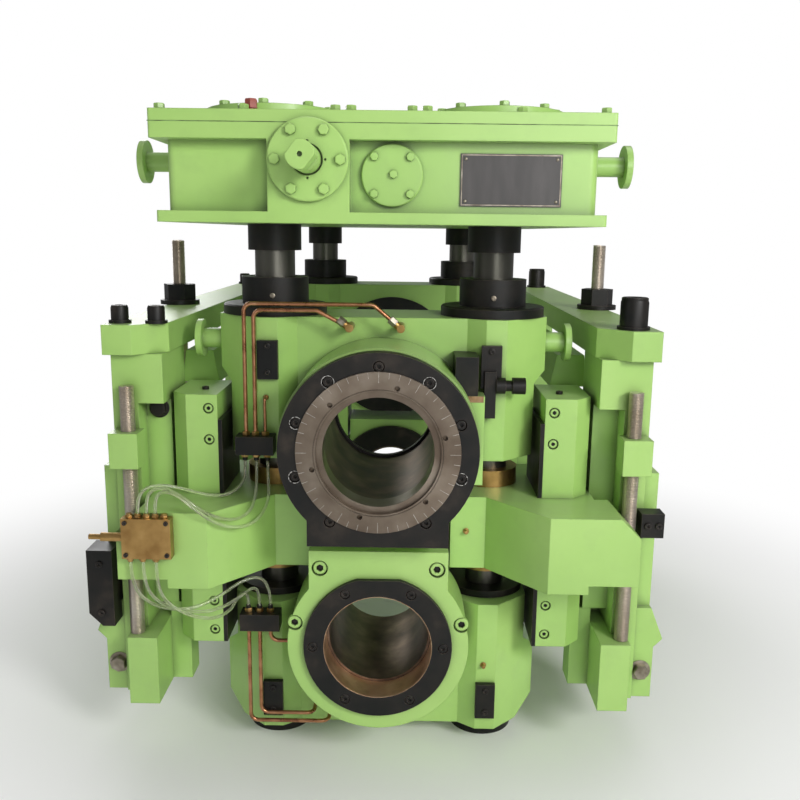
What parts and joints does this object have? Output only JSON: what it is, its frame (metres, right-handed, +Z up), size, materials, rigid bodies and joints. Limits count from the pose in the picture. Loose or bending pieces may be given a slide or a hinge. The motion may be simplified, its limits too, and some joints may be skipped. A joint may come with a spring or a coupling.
{
  "type": "rolling mill stand",
  "caption": "Housingless short-path rolling mill stand: bored bearing chocks on tie rods under a screwdown gearbox, held between side frames.",
  "frame": {"origin": "on the floor, midway between the four tie rods", "axes": "+Z up; +Y along the roll axes, away from the side with the name plate; +X along the pass line, to the right seen from that side"},
  "size_m": [1.15, 1.718, 1.297],
  "materials": {
    "green_paint": "semi-gloss enamel on castings",
    "black_oxide": "oiled black oxide",
    "machined_steel": "turned and ground",
    "threaded_steel": "cut thread, oiled",
    "brass": "machined",
    "bronze": "bored, oiled",
    "copper": "drawn tube",
    "dark_plate": "bare plate, satin",
    "clear_hose": "clear flexible tube"
  },
  "bodies": {
    "stand": {"gearbox_case": "green_paint", "gearbox_cover": "green_paint", "screw_caps": "green_paint", "input_bearing_covers": "green_paint", "inspection_covers": "green_paint", "name_plate": "dark_plate", "gearbox_trunnions": "green_paint", "tie_rods": "machined_steel", "rod_collars": "black_oxide", "rod_end_nuts": "black_oxide", "supports_right": "green_paint", "supports_left": "green_paint", "support_nuts": "brass", "guide_posts_right": "green_paint", "guide_posts_left": "green_paint", "guide_liners": "black_oxide", "side_frame_right": "green_paint", "side_frame_left": "green_paint", "top_arm_right": "green_paint", "top_arm_left": "green_paint", "arm_bolts": "black_oxide", "clamp_screws": "threaded_steel", "hanger_screws": "threaded_steel", "hanger_nuts": "black_oxide", "guide_beams": "green_paint", "side_clamp_blocks": "black_oxide", "distributor_block": "brass", "distributor_nozzle": "black_oxide", "upper_hose_1": "clear_hose", "upper_hose_2": "clear_hose", "upper_hose_3": "clear_hose", "lower_hose_1": "clear_hose", "lower_hose_2": "clear_hose", "lower_hose_3": "clear_hose"},
    "upper_chocks": {"upper_chock_front": "green_paint", "upper_chock_rear": "green_paint", "upper_bearing_covers": "black_oxide", "graduated_rings": "machined_steel", "upper_bearing_sleeves": "machined_steel", "upper_seal_rings": "black_oxide", "chock_flanges": "black_oxide", "screw_nuts": "black_oxide", "chock_trunnions": "green_paint", "upper_keeper_plates": "black_oxide", "axial_lock": "black_oxide", "axial_lock_lever": "black_oxide", "upper_manifold": "black_oxide", "upper_pipes": "copper"},
    "lower_chocks": {"lower_chock_front": "green_paint", "lower_chock_rear": "green_paint", "lower_bearing_covers": "green_paint", "lower_rings": "black_oxide", "lower_bearing_sleeves": "bronze", "lower_seal_rings": "black_oxide", "lower_discs": "black_oxide", "lower_keeper_plates": "black_oxide", "lower_manifold": "black_oxide", "lower_pipes": "copper"},
    "input_shaft": {"input_shaft": "green_paint"}
  },
  "joints": [
    {"name": "upper_chock_slide", "type": "slide", "parent": "stand", "child": "upper_chocks", "axis": [0, 0, 1], "range_m": [-0.012, 0.015], "deforming": ["upper_hose_1", "upper_hose_2", "upper_hose_3"]},
    {"name": "lower_chock_slide", "type": "slide", "parent": "stand", "child": "lower_chocks", "axis": [0, 0, 1], "range_m": [-0.015, 0.012], "deforming": ["lower_hose_1", "lower_hose_2", "lower_hose_3"]},
    {"name": "input_shaft_spin", "type": "hinge", "parent": "stand", "child": "input_shaft", "pos_m": [-0.128, 0, 1.182], "axis": [0, 1, 0], "continuous": true}
  ],
  "couplings": [
    {"joint": "lower_chock_slide", "follows": "upper_chock_slide", "ratio": -1}
  ]
}
